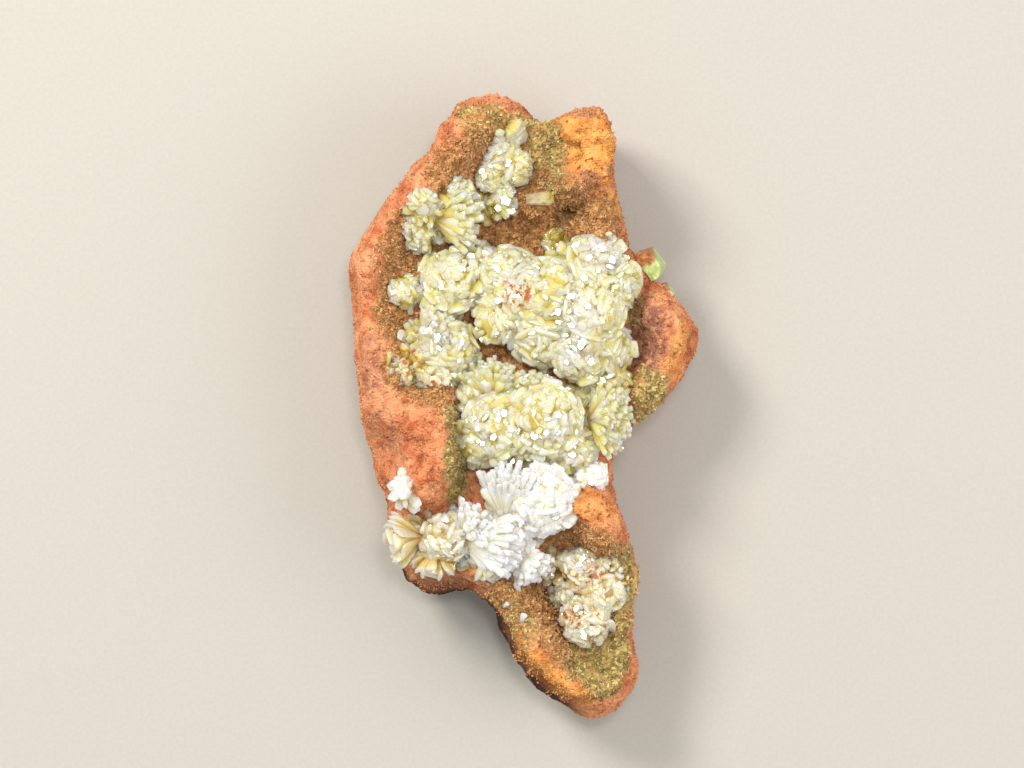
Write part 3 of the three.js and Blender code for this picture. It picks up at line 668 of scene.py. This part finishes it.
# ---- Adamite ---------------------------------------------------------------------------------------
# Kinds of spray, each one or more layers of crystals: templates, width and thickness at the tip in
# millimetres, length as a share of the reach, the shares of the spread that the layer lies between,
# how far its length varies, and how far a crystal turns about itself.
KINDS = {
    "fan": [((LOBE,), 2.0, 1.6, 0.76, 0, 1, 0.04, 0.1),
            ((RIB, RIB, CHISEL), 1.1, 0.7, 1, 0, 1, 0.14, 0.2)],
    "rosette": [((SHELL,), 3.2, 1.2, 1.05, 0.86, 1.15, 0.14, 0.25)],
    "blades": [((LOBE,), 2.8, 2.2, 0.76, 0, 1, 0.05, 1.2),
               ((CHISEL, RIB, SHELL), 2.2, 0.9, 0.98, 0, 1, 0.13, 0.5)],
    "petals": [((SHELL,), 3.2, 1.2, 1, 0, 1, 0.1, 0.3)],
    "prisms": [((PRISM, BLOCK), 1.5, 1.2, 1, 0, 1, 0.18, 0.8)],
}
PACKING = 0.62  # share of a dome's area that each crystal's tip keeps to itself
# Lift is over the limonite; fan and splay are half spreads along and across the fan. Millimetres and
# degrees.
Spray = namedtuple("Spray", "x y lift heading pitch fan splay reach kind")
SPRAYS = {
    "upper_fan": [
        (-14.4, 29.8, 2, 16, 26, 58, 20, 8, "fan"), (-14.9, 29.4, 1.5, 190, 35, 70, 26, 4.6, "fan"),
        (-15.5, 27.1, 1, 240, 30, 30, 16, 3.6, "blades"), (-15.4, 31.4, 1, 115, 45, 50, 25, 3.4, "blades"),
        (-10.7, 33.4, 1.2, 62, 50, 45, 30, 3.6, "blades"), (-5.4, 32.6, 1.2, 5, 30, 40, 22, 5, "fan"),
    ],
    "crown": [
        (-3.4, 40.2, 0.4, 90, 70, 70, 70, 3.0, "rosette"), (-5, 36.8, 0.3, 200, 62, 60, 60, 2.6, "rosette"),
        (-1.2, 37.9, 0.8, 300, 45, 60, 40, 3.2, "rosette"),
        (-1.5, 43.2, 0.3, 80, 50, 55, 40, 2.4, "rosette"),
    ],
    "crust_upper": [
        (-10.7, 19.4, 1.5, 100, 72, 75, 75, 5, "rosette"), (-6.9, 22.3, 1, 40, 42, 50, 30, 3.6, "rosette"),
        (-13.2, 21, 1, 125, 45, 55, 35, 3.2, "rosette"), (-18.9, 18.1, 0.5, 165, 38, 45, 30, 2.6, "rosette"),
        (-13.1, 15.8, 0.5, 270, 40, 55, 35, 3, "rosette"), (-2.1, 19.7, 2.5, 95, 72, 75, 70, 5.2, "rosette"),
        (-3.4, 13.6, 2.5, 205, 42, 62, 40, 4.3, "rosette"), (3.9, 17.4, 5.6, 90, 82, 75, 75, 5.8, "rosette"),
        (11.1, 21.3, 3, 62, 52, 60, 45, 6, "rosette"), (14.7, 19.4, 2, 355, 38, 60, 35, 4.6, "rosette"),
        (10.8, 14.9, 5.4, 20, 72, 70, 60, 5.6, "rosette"), (3.1, 11, 3, 265, 48, 65, 45, 4.8, "rosette"),
        (3.9, 8.3, 2, 272, 40, 60, 35, 2.7, "rosette"), (9.5, 9, 3.5, 255, 55, 60, 45, 5.4, "rosette"),
        (13.2, 8.4, 2, 345, 40, 55, 30, 5, "rosette"),
    ],
    "crust_lower": [
        (13.4, 3.2, 2, 20, 60, 60, 55, 4, "rosette"), (-4.7, 0.6, 2, 92, 34, 50, 18, 6.6, "fan"),
        (-7.6, 1.0, 1.5, 150, 42, 50, 30, 3.2, "rosette"), (1.8, 1, 2, 95, 36, 55, 20, 4.6, "fan"),
        (-3.4, -3.6, 3.5, 160, 70, 75, 65, 5.6, "rosette"), (3.9, -2.6, 5.2, 90, 84, 75, 75, 5.8, "rosette"),
        (10.8, -2.6, 3.5, 5, 38, 58, 26, 6.8, "fan"), (11.1, 1.3, 2.5, 42, 30, 12, 8, 5.6, "prisms"),
        (0.2, -6.8, 2.5, 262, 55, 62, 45, 3.8, "rosette"), (7.9, -7.2, 2.5, 285, 45, 60, 40, 4.6, "rosette"),
        (-6.3, -5.8, 2, 215, 50, 60, 45, 4.6, "rosette"),
    ],
    "lower_spray": [
        (-2.6, -18.7, 2.7, 66, 34, 50, 20, 9, "fan"), (3.1, -15.5, 4.0, 60, 58, 70, 50, 5.8, "rosette"),
        (-10, -21.4, 2.4, 350, 20, 30, 18, 9.6, "fan"), (-9.6, -21.4, 2.2, 30, 44, 50, 24, 6.4, "fan"),
        (-2.4, -21.6, 2, 340, 50, 60, 40, 4.2, "rosette"), (-0.6, -24.2, 1.2, 318, 30, 42, 20, 5.4, "fan"),
        (11.1, -12, 0.8, 60, 50, 50, 40, 2.8, "rosette"),
    ],
    "lower_petals": [
        (-15.5, -21.3, 2, 185, 28, 50, 22, 6.4, "petals"), (-13.7, -23.3, 1.5, 262, 26, 48, 20, 5, "petals"),
        (-12.2, -21.6, 2, 120, 50, 60, 35, 4.2, "rosette"), (-6.3, -24.9, 1, 300, 30, 45, 25, 4, "petals"),
    ],
    "foot_cluster": [
        (9.6, -26.8, 1.5, 75, 62, 65, 55, 3.4, "rosette"), (13.2, -30, 2, 20, 55, 60, 45, 3.9, "rosette"),
        (10.6, -34.6, 2, 285, 48, 65, 40, 4.2, "rosette"), (5.2, -26.4, 0.8, 170, 55, 60, 50, 2.4, "prisms"),
        (7.4, -30.6, 0.8, 200, 60, 60, 55, 2.4, "prisms"), (14.2, -26.2, 0.8, 60, 60, 60, 50, 2.2, "prisms"),
    ],
    "left_rosette": [
        (-16.3, 9.5, 2, 35, 40, 40, 24, 6.5, "fan"), (-12, 8.7, 2, 350, 55, 70, 55, 5, "rosette"),
        (-14.4, 6.1, 1, 280, 50, 60, 45, 4.6, "rosette"), (-18.3, 6.1, 0.3, 215, 45, 55, 45, 3.6, "prisms"),
    ],
    "rim_tuft": [(-18.6, -14, 1.5, 140, 60, 60, 45, 2.8, "prisms")],
    "yellow_ball": [(5.8, 26, 1.2, 90, 80, 80, 75, 2.2, "rosette")],
    "lying_prism": [],
}
# Single crystals: x, y, lift of the root over the limonite, heading, pitch, width, thickness, length.
LONERS = {
    "lying_prism": [(0.9, 32.8, 0.9, 3, 4, 2.5, 1.8, 4.5), (4.4, 34.0, 0.3, 60, 25, 1.1, 0.9, 1.8)],
    "crust_upper": [
        (4.5, 22.4, 1.8, 75, 25, 2.4, 1.2, 3.0), (-0.9, 22.6, 1.8, 10, 20, 2.2, 1.3, 2.4),
        (-10.8, 12.4, 0.6, 55, 25, 1.0, 0.7, 3.2), (5.2, 3.6, 0.4, 80, 55, 1.1, 0.8, 1.5),
        (14.1, 26.8, 0.2, 100, 60, 1.3, 0.9, 1.7), (13.9, 12.3, 2.6, 20, 50, 1.4, 0.9, 1.8),
    ],
    "crust_lower": [(17.0, -2.6, 0.5, 350, 30, 1.0, 0.8, 2.0), (-9.9, -5.0, 0.8, 92, 30, 1.2, 0.9, 3.2)],
    "left_rosette": [
        (-15.0, 8.4, 3.8, 96, 38, 1.7, 1.2, 4.6), (-13.0, 8.2, 4.2, 84, 42, 1.5, 1.1, 4.2),
        (-17.8, 14.8, 0.6, 92, 30, 1.3, 1.0, 3.0), (-21.2, 6.4, 0.4, 80, 25, 0.8, 0.6, 2.4),
        (-13.1, 2.8, 0.5, 60, 55, 1.2, 0.9, 1.7),
    ],
    "upper_fan": [
        (-3.2, 31.2, 1.2, 60, 35, 2.0, 0.9, 3.0), (-2.0, 30.9, 1.0, 20, 40, 1.8, 0.8, 2.6),
    ],
    "lower_spray": [
        (0.2, -34.6, 0.2, 70, 45, 1.2, 0.9, 2.0), (-0.4, -29.8, 0.3, 110, 40, 1.2, 0.8, 2.0),
        (-2.6, -32.4, 0.2, 40, 50, 0.9, 0.7, 1.5),
    ],
}
# Milky parts of the crust: x, y, reach.
MILKY_SPOTS = [
    (13, 24, 4.5), (9.5, 14, 4.5), (8.5, 8.5, 4), (-14.5, 10.5, 3.6), (-1, 20, 2.5), (6, -4, 4),
    (-4.5, 40, 3),
]
# Larger clean faces, given one by one: x, y, width, length.
FACES = [
    (-2.4, 32.4, 2.2, 1.6), (-1.5, 30.8, 1.7, 1.2), (-3.6, 31.3, 1.4, 1.2), (12.8, 24.8, 2.0, 1.5),
    (14.6, 22.9, 1.6, 1.2), (10.9, 23.2, 1.5, 1.1), (8.2, 12.6, 1.7, 1.4), (6.1, 13.2, 1.5, 1.5),
    (9.8, 9.6, 1.9, 1.4), (-14.8, 11.6, 1.8, 1.0), (-13.2, 10.4, 1.9, 0.9), (2.2, -5.2, 1.5, 1.3),
    (8.2, -8.2, 1.1, 1.5), (-2.6, -1.6, 1.4, 1.2),
]
RUST_SPOTS = [(-0.6, 17.6, 3.4), (-18, 6.6, 3.4), (-14, 3.2, 2.4), (8.2, -34, 2.6), (11.5, -27.5, 2.2)]
# Low crystals that fill the limonite between the sprays: number, reach and path.
CARPETS = {
    "crust_upper": [(260, 4, [(-11, 19), (-2, 18), (4, 16), (12, 19)]), (160, 3.5, [(-3, 14), (10, 12)])],
    "crust_lower": [(240, 5, [(-4, -3), (10, -3)]), (60, 2.5, [(13, 5), (12, -1)])],
    "lower_spray": [(140, 3.5, [(-7, -23), (1, -19), (6, -15)])],
    "lower_petals": [(70, 3, [(-16, -22), (-8, -23.5)])],
    "foot_cluster": [(90, 3, [(9, -26), (12, -31), (10, -36)])],
    "left_rosette": [(60, 3, [(-16, 8), (-12, 8)])],
    "upper_fan": [(70, 3, [(-15, 30), (-9, 31)])],
    "crown": [(60, 2.2, [(-4, 37), (-2, 43)])],
}
REPLACED = {
    "upper_fan": ["adamite_upper_fan"], "crown": ["adamite_crown_druse"],
    "crust_upper": ["adamite_central_crust"], "crust_lower": [],
    "lower_spray": ["adamite_lower_spray"], "lower_petals": [], "foot_cluster": ["adamite_foot_cluster"],
    "left_rosette": ["adamite_left_rosette"], "rim_tuft": ["adamite_rim_tuft"],
    "yellow_ball": ["adamite_yellow_ball"], "lying_prism": ["adamite_lying_prism"],
}


def ground_under(x, y):
    """Height of the finished limonite at a place in plan."""
    hit = rock_tree.ray_cast(Vector((x * MM, y * MM, 0.1)), Vector((0, 0, -1)))[0]
    return hit.z / MM if hit else 0.0


def mound_shape():
    """A lumpy ball of unit size, for mounds and for the domes of a mass."""
    bpy.ops.mesh.primitive_ico_sphere_add(subdivisions=3, radius=1)
    made = bpy.context.object
    points = np.array([v.co for v in made.data.vertices])
    faces = [list(p.vertices) for p in made.data.polygons]
    bpy.data.objects.remove(made)
    points *= (1 + 0.12 * noise_at(points * 2, 1))[:, None]
    return points, faces


def grow_spray(grown, spray, draw):
    """Crystals packed side by side round one heart; all but a rosette stand on a mound of small ones."""
    x, y, lift, heading, pitch, fan, splay, reach, kind = spray
    ground = ground_under(x, y)
    heart = np.array([x, y, ground + lift])
    half_fan, half_splay = math.radians(fan), math.radians(splay)
    axis = pointing(heading, pitch)
    fanwise = level_across(heading)
    up = np.cross(axis, fanwise)
    area = 4 * math.pi * reach ** 2 * math.sin(half_fan / 2) * math.sin(half_splay / 2)
    for shapes, width, thickness, length, inner, outer, uneven, twist in KINDS[kind]:
        count = max(round(area * (outer ** 2 - inner ** 2) / (width * thickness * PACKING)), 2)
        turn = draw.uniform(0, math.tau)
        for n in range(count):
            out = math.sqrt(inner ** 2 + (outer ** 2 - inner ** 2) * (n + 0.4) / count)
            angle = n * GOLDEN_ANGLE + turn
            sweep = half_fan * out * math.cos(angle) + draw.gauss(0, 0.07)
            rise = half_splay * out * math.sin(angle) + draw.gauss(0, 0.05)
            lean = math.hypot(sweep, rise)
            outward = (fanwise * sweep + up * rise) / max(lean, 1e-6)
            aim = axis * math.cos(lean) + outward * math.sin(lean)
            side = np.cross(up, aim) if kind == "fan" else np.cross(axis, outward)
            side = square_to(aim, side + twist * across(aim, draw))
            lump = 0.1 * noise.noise(aim * 1.6 + heart)
            long = reach * length * (1 + lump + draw.uniform(-uneven, uneven))
            size = (width * draw.uniform(0.75, 1.25), thickness * draw.uniform(0.8, 1.25), long)
            grown.append(crystal(draw.choice(shapes), heart, aim, side, size, draw.random()))
    if kind != "rosette":
        grow_mound(grown, np.array([x, y, ground]), lift, min(0.55 * reach, 3.4), draw)


MOUND_SPREAD = 1.75  # radians from straight up that a mound's crystals reach


def grow_mound(grown, foot, lift, radius, draw):
    """The milky mound that a spray stands on, covered with stubby crystals."""
    up = np.array([0.0, 0.0, 1.0])
    rise = np.array([radius, radius, 0.9 * lift + 0.4])
    extent = (2 * radius, 2 * radius, rise[2])
    grown.append(crystal(MOUND, foot, up, np.array([1.0, 0, 0]), extent, draw.random()))
    count = round(2.2 * radius ** 2) + 6
    for n in range(count):
        lean = MOUND_SPREAD * math.sqrt((n + 0.4) / count)
        angle = n * GOLDEN_ANGLE
        aim = np.array([math.sin(lean) * math.cos(angle), math.sin(lean) * math.sin(angle), math.cos(lean)])
        root = foot + aim * rise * 0.8
        aim = unit(aim + 0.35 * across(aim, draw))
        long = draw.uniform(1.6, 2.8)
        size = (0.8 * long, 0.5 * long, long)
        grown.append(crystal(STUB, root, aim, across(aim, draw), size, draw.random()))


def green_crystal(node):
    """A blocky crystal with worn edges, a little uneven, crusted towards its upper left."""
    piece = node_copy(node + "_crystal", node)
    apply_modifier(piece, "BEVEL", width=0.22 * MM, segments=2, limit_method="ANGLE")
    apply_modifier(piece, "SUBSURF", subdivision_type="SIMPLE", levels=3)
    points, normals = mesh_points(piece), mesh_normals(piece)
    points += normals * (0.09 * noise_at(points, 1.4, 3) - 0.05)[:, None]
    set_mesh_points(piece, points)
    middle = points.mean(axis=0)
    side = (points - middle) @ np.array([-0.6, 0.7, 0.3]) + 0.7 * noise_at(points, 1.2, 2)
    set_attribute(piece, "coat", smoothstep(0.3, 0.9, side))
    return piece


def melted_domes(domes):
    """The milky mass of a crust, its domes melted together: points, normals and faces."""
    points, faces = MOUND
    places, all_faces = [], []
    for n, dome in enumerate(domes):
        middle = [dome.x, dome.y, ground_under(dome.x, dome.y) + dome.lift]
        places.append(points * (MASS_SHARE * dome.reach) + middle)
        all_faces.extend([[k + n * len(points) for k in face] for face in faces])
    melt = mesh_piece("mass", np.concatenate(places), all_faces)
    apply_modifier(melt, "REMESH", mode="VOXEL", voxel_size=MASS_VOXEL)
    apply_modifier(melt, "SMOOTH", factor=0.5, iterations=MASS_SMOOTHING)
    melted, normals = mesh_points(melt), mesh_normals(melt)
    melted += normals * (0.5 * noise_at(melted, 2.6, 2) + 0.3 * noise_at(melted + 40, 1.0))[:, None]
    set_mesh_points(melt, melted)
    normals = mesh_normals(melt)
    quads = [list(p.vertices) for p in melt.data.polygons]
    bpy.data.objects.remove(melt)
    return melted, normals, quads


def lay_facets(melted, normals, draw):
    """Clean faces here and there on the upper side of a mass, turned to catch a light."""
    open_places = melted[normals[:, 2] > 0.55]
    for place in draw.sample(list(open_places), len(open_places) // FACET_SHARE):
        catch = unit(np.array(draw.choice(CATCHES)) + [draw.gauss(0, 0.025) for _ in range(3)])
        size = (draw.uniform(0.6, 1.7), draw.uniform(0.5, 1.2), FACET_LONG)
        facets.append(crystal(PLATE, place - 0.8 * catch, catch, across(catch, draw), size, draw.random()))


def grow_mass(domes, draw):
    """A crust's milky mass and the small crystals all over it, which lean together in patches."""
    melted, normals, quads = melted_domes(domes)
    mass = (melted, quads, np.full(len(melted), MASS_ALONG), melted * MASS_RIBBING, MASS_SHADE)
    lay_facets(melted, normals, draw)
    weights = smoothstep(-0.35, 0.1, normals[:, 2])
    scale = min(np.mean([dome.reach for dome in domes]) / FULL_REACH, 1) ** 0.8
    count = round(MASS_CRYSTALS / scale ** 2 * weights.sum() * (MASS_VOXEL / MM) ** 2)
    chosen = pick(weights, count, draw)
    lean = np.column_stack([noise_at(melted[chosen] + 50 * k, 5.0, 2) for k in range(1, 4)])
    coat = []
    for n, field in zip(chosen, lean):
        aim = unit(normals[n] + 1.5 * field + np.array([draw.gauss(0, 0.2) for _ in range(3)]))
        side = square_to(aim, np.cross(aim, normals[n]) + 0.2 * across(aim, draw))
        long = scale * CRYSTAL_LONG * draw.uniform(0.7, 1.3)
        size = (scale * draw.uniform(1.4, 3.0), scale * draw.uniform(0.9, 1.8), long)
        root = melted[n] - aim * CRYSTAL_SUNK * long
        coat.append(crystal(draw.choice(BLADES), root, aim, side, size, draw.random()))
    return mass, coat


def grow_loner(grown, row, draw):
    """A single prism that stands or lies on the limonite, its root sunk into it."""
    x, y, lift, heading, pitch, width, thickness, long = row
    aim = pointing(heading, pitch)
    root = np.array([x, y, ground_under(x, y) + lift]) - 0.3 * long * aim * math.sin(math.radians(pitch))
    size = (width, thickness, long)
    grown.append(crystal(PRISM, root, aim, level_across(heading), size, draw.random()))


MOUND = mound_shape()
facets = []  # crystals with a smooth face that catches the light
CATCHES = [(-0.23, 0.246, 0.941), (-0.23, 0.246, 0.941), (0.03, 0.06, 0.997)]  # ways such faces look
FACET_SHARE = 75  # upward points of a mass for each clean face on it
FACET_LONG = 2.1
MASS_SHARE = 0.84  # a dome's radius as a share of its spray's reach
MASS_VOXEL = 0.4 * MM
MASS_SMOOTHING = 6  # passes
MASS_CRYSTALS = 0.7  # crystals per square millimetre of mass
MASS_ALONG = 0.86  # the mass has the colour that its crystals have at this share of their length
MASS_RIBBING = [2.4, 2.4, 1.2]
MASS_SHADE = 0.45
CRYSTAL_LONG = 3.8
CRYSTAL_SUNK = 0.76  # share of a crystal's length that stays in the mass
FULL_REACH = 4.6  # domes that reach less than this get smaller crystals
BLADES = [CHISEL, BLOCK, BLOCK, TABLE, SHELL]
BROWN_GRAINS = 11000
OLIVE_GRAINS = 2600
GRANULES = 9500

limonite = limonite_body()
rock_masks = roughen(limonite)
rock_tree = BVHTree.FromObject(limonite, bpy.context.evaluated_depsgraph_get())
earthy = limonite_material()
finish_piece(limonite, "limonite", [earthy], "limonite_matrix")

rock_points, rock_normals = mesh_points(limonite), mesh_normals(limonite)
facing_up = smoothstep(-0.2, 0.3, rock_normals[:, 2])

draw = random.Random(20)
brown = crystal_mesh("brown_druse", scatter(rock_points, rock_normals, rock_masks["druse"] * facing_up,
                                            BROWN_GRAINS, [GRAIN], 0.6, 0.6, draw))
finish_piece(brown, "limonite", [grain_material("goethite_coated_druse", "#936839", "#d4a36b")])
olive = crystal_mesh("olive_druse", scatter(rock_points, rock_normals, rock_masks["olive"] * facing_up,
                                            OLIVE_GRAINS, [GRAIN], 0.65, 0.7, draw))
finish_piece(olive, "limonite", [grain_material("olive_druse", "#75683a", "#d0bc7a")])

# Granules keep off the druse, the olive and the painted shade.
bare = facing_up * (1 - np.maximum(rock_masks["druse"], rock_masks["olive"])) * (1 - rock_masks["hollow"])
patches = smoothstep(-0.3, 0.3, noise_at(rock_points, 3, 2))
bare *= patches * (0.35 + 0.65 * smoothstep(-20, -16, rock_points[:, 0]))
granules = crystal_mesh("limonite_granules",
                        scatter(rock_points, rock_normals, bare, GRANULES, [PEBBLE], 0.46, 0.9, draw))
for name, mask in stain_masks(mesh_points(granules)).items():
    set_attribute(granules, name, mask)
granules.data.polygons.foreach_set("use_smooth", [True] * len(granules.data.polygons))
finish_piece(granules, "limonite", [earthy])

pale = adamite_material("adamite_pale", "#dec460", "#fff19e", "#fffcd8", 0.37, 0.04)
white = adamite_material("adamite_white", "#efe6c0", "#fffdee", "#ffffff", 0.22, 0.05)
stained = adamite_material("adamite_iron_stained", "#c08c4c", "#f4e3aa", "#fff8dc", 0.34, 0.06)
honey = adamite_material("adamite_honey", "#dab86e", "#f7e6ae", "#fffae8", 0.4, 0.05)
yellow = adamite_material("adamite_yellow", "#b08f34", "#dcc660", "#f2e48c", 0.45, 0.05)
FINISH = {
    "upper_fan": pale, "crown": pale, "crust_upper": pale, "crust_lower": pale, "lower_spray": white,
    "lower_petals": honey, "foot_cluster": stained, "left_rosette": pale, "rim_tuft": white,
    "yellow_ball": yellow, "lying_prism": yellow,
}


def grow_cluster(name, sprays):
    """One growth of adamite as a closed body: sprays, single crystals, low ones between, milky mass."""
    draw = random.Random(name)
    grown = []
    for spray in sprays:
        grow_spray(grown, spray, draw)
    for row in LONERS.get(name, []):
        grow_loner(grown, row, draw)
    for count, reach, path in CARPETS.get(name, []):
        away = distance_to_path(rock_points[:, 0], rock_points[:, 1], path)
        weights = 1 - smoothstep(reach - 1, reach, away)
        grown += scatter(rock_points, rock_normals, weights * facing_up, count, BLADES, 2.6, 0.35, draw)
    domes = [spray for spray in sprays if spray.kind == "rosette"]
    if domes:
        mass, coat = grow_mass(domes, draw)
        grown = [mass] + grown + coat
    return united_piece(name + "_crystals", grown)


crust_trees = [rock_tree]
for name, rows in SPRAYS.items():
    piece = grow_cluster(name, [Spray(*row) for row in rows])
    crust_trees.append(BVHTree.FromObject(piece, bpy.context.evaluated_depsgraph_get()))
    slot = "adamite_milky" if FINISH[name] is white else "adamite_pale"
    finish_piece(piece, slot, [FINISH[name]], *REPLACED[name])

draw = random.Random(5)
catch = unit(np.array(CATCHES[0]))
for x, y, width, length in FACES:
    hits = [tree.ray_cast(Vector((x * MM, y * MM, 0.1)), Vector((0, 0, -1)))[0] for tree in crust_trees]
    top = max(hit.z / MM for hit in hits if hit)
    root = np.array([x, y, top]) - 1.7 * catch
    size = (width, length, FACET_LONG)
    facets.append(crystal(PLATE, root, catch, across(catch, draw), size, draw.random()))
finish_piece(crystal_mesh("facet_crystals", facets), "adamite_pale", [facet_material()])

green = green_material()
for name in ("green_prism_large", "green_prism_small"):
    finish_piece(green_crystal(name), "adamite_green", [green], name)

# ---- Stage -----------------------------------------------------------------------------------------
bpy.ops.mesh.primitive_plane_add(size=4)
floor = bpy.context.object
floor.name = "floor"
paper, tree, shader, coordinates = start_material("pale_paper")
colour = layered(tree, "#aeaba5", (speckle(tree, coordinates, 0.6, 0.3, 0.7), "#b3b0aa"))
set_inputs(tree, shader, {"Base Color": colour, "Roughness": 0.9})
floor.data.materials.append(paper)


def soft_light(name, at, size, power, colour):
    data = bpy.data.lights.new(name, "AREA")
    data.size, data.energy = size, power
    data.color = linear(colour)[:3]
    lamp = bpy.data.objects.new(name, data)
    lamp.location = at
    lamp.rotation_euler = (-Vector(at)).to_track_quat("-Z", "Y").to_euler()
    bpy.context.scene.collection.objects.link(lamp)


soft_light("key_light", (-0.28, 0.3, 0.5), 0.18, 3.7, "#fffaf0")
soft_light("fill_light", (0.45, -0.05, 0.4), 0.4, 1.5, "#fffaf2")
soft_light("top_light", (0.05, 0.1, 0.8), 0.1, 1.8, "#ffffff")
world = bpy.data.worlds.new("studio")
bpy.context.scene.world = world
world.use_nodes = True
set_inputs(world.node_tree, world.node_tree.nodes["Background"], {"Color": "#efece5", "Strength": 0.75})
bpy.context.scene.view_settings.view_transform = "Standard"

camera_data = bpy.data.cameras.new("camera")
camera_data.lens = 150
camera_data.sensor_width = 36
camera = bpy.data.objects.new("camera", camera_data)
camera.location = (-1.45 * MM, 3.15 * MM, 0.706)
bpy.context.scene.collection.objects.link(camera)
bpy.context.scene.camera = camera
